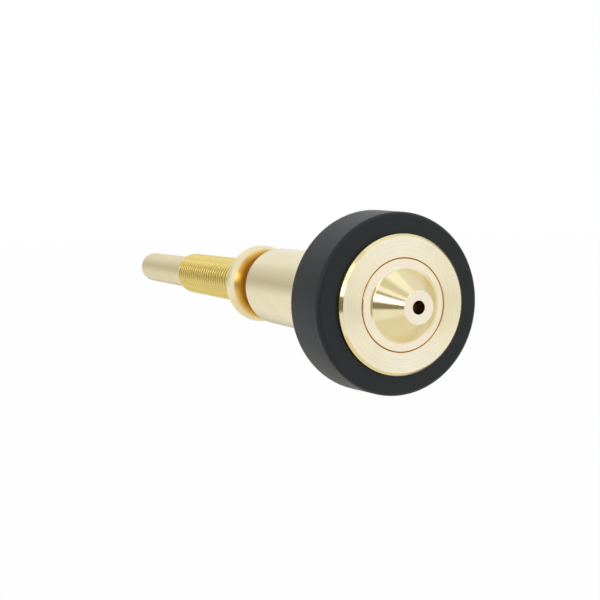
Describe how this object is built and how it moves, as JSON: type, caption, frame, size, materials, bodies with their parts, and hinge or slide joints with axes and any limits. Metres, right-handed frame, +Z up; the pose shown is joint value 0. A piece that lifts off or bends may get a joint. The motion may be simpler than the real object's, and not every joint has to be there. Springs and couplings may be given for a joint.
{
  "type": "oil burner nozzle",
  "caption": "Long brass oil burner nozzle: cone-shaped spray tip in a face ring with a black rubber grip, slim barrel, flared collar, threaded stem and plain tail.",
  "frame": {"origin": "on the nozzle's axis, in the plane of the collar's rear face, where the stem's thread starts", "axes": "+Y along the axis from the spray face towards the oil inlet, so the spray leaves along -Y; +Z up; +X to the right when looking along +Y, at the spray face"},
  "size_m": [0.032, 0.1426, 0.032],
  "materials": {
    "tip_brass": "fine turned, bright",
    "ring_brass": "fine faced, satin",
    "barrel_brass": "fine turned, satin",
    "stem_brass": "turned and threaded",
    "inner_brass": "as turned",
    "filter_bronze": "sintered, porous",
    "black_rubber": "moulded, satin",
    "seal_rubber": "moulded",
    "seal_white": "cut from sheet",
    "spring_steel": "drawn"
  },
  "bodies": {
    "body": {"barrel": "barrel_brass", "stem": "stem_brass", "spring_stop": "inner_brass", "valve_spring": "spring_steel", "valve_seat": "inner_brass", "seat_o_ring": "seal_rubber", "seat_snap_ring": "spring_steel", "filter_holder": "inner_brass", "filter_cup": "filter_bronze", "stem_o_ring": "seal_rubber", "grip_o_ring": "seal_rubber"},
    "tip": {"nozzle_tip": "tip_brass", "swirl_disc": "inner_brass", "swirl_screw": "inner_brass", "tip_seal": "seal_white"},
    "grip": {"face_ring": "ring_brass", "rubber_grip": "black_rubber", "tip_clip": "spring_steel"},
    "valve": {"valve_poppet": "inner_brass", "poppet_pad": "seal_rubber", "pad_screw": "spring_steel"}
  },
  "joints": [
    {"name": "tip_advance", "type": "slide", "parent": "body", "child": "tip", "axis": [0, -1, 0], "range_m": [0, 0.003]},
    {"name": "ring_turn", "type": "hinge", "parent": "tip", "child": "grip", "pos_m": [0, -0.055, 0], "axis": [0, -1, 0], "range_deg": [0, 1080]},
    {"name": "valve_lift", "type": "slide", "parent": "body", "child": "valve", "axis": [0, -1, 0], "range_m": [0, 0.0015], "stiffness_N_per_m": 400, "springref_m": -0.002, "deforming": ["valve_spring"]}
  ],
  "couplings": [
    {"joint": "tip_advance", "follows": "ring_turn", "m_per_rad": 0.00015915}
  ]
}
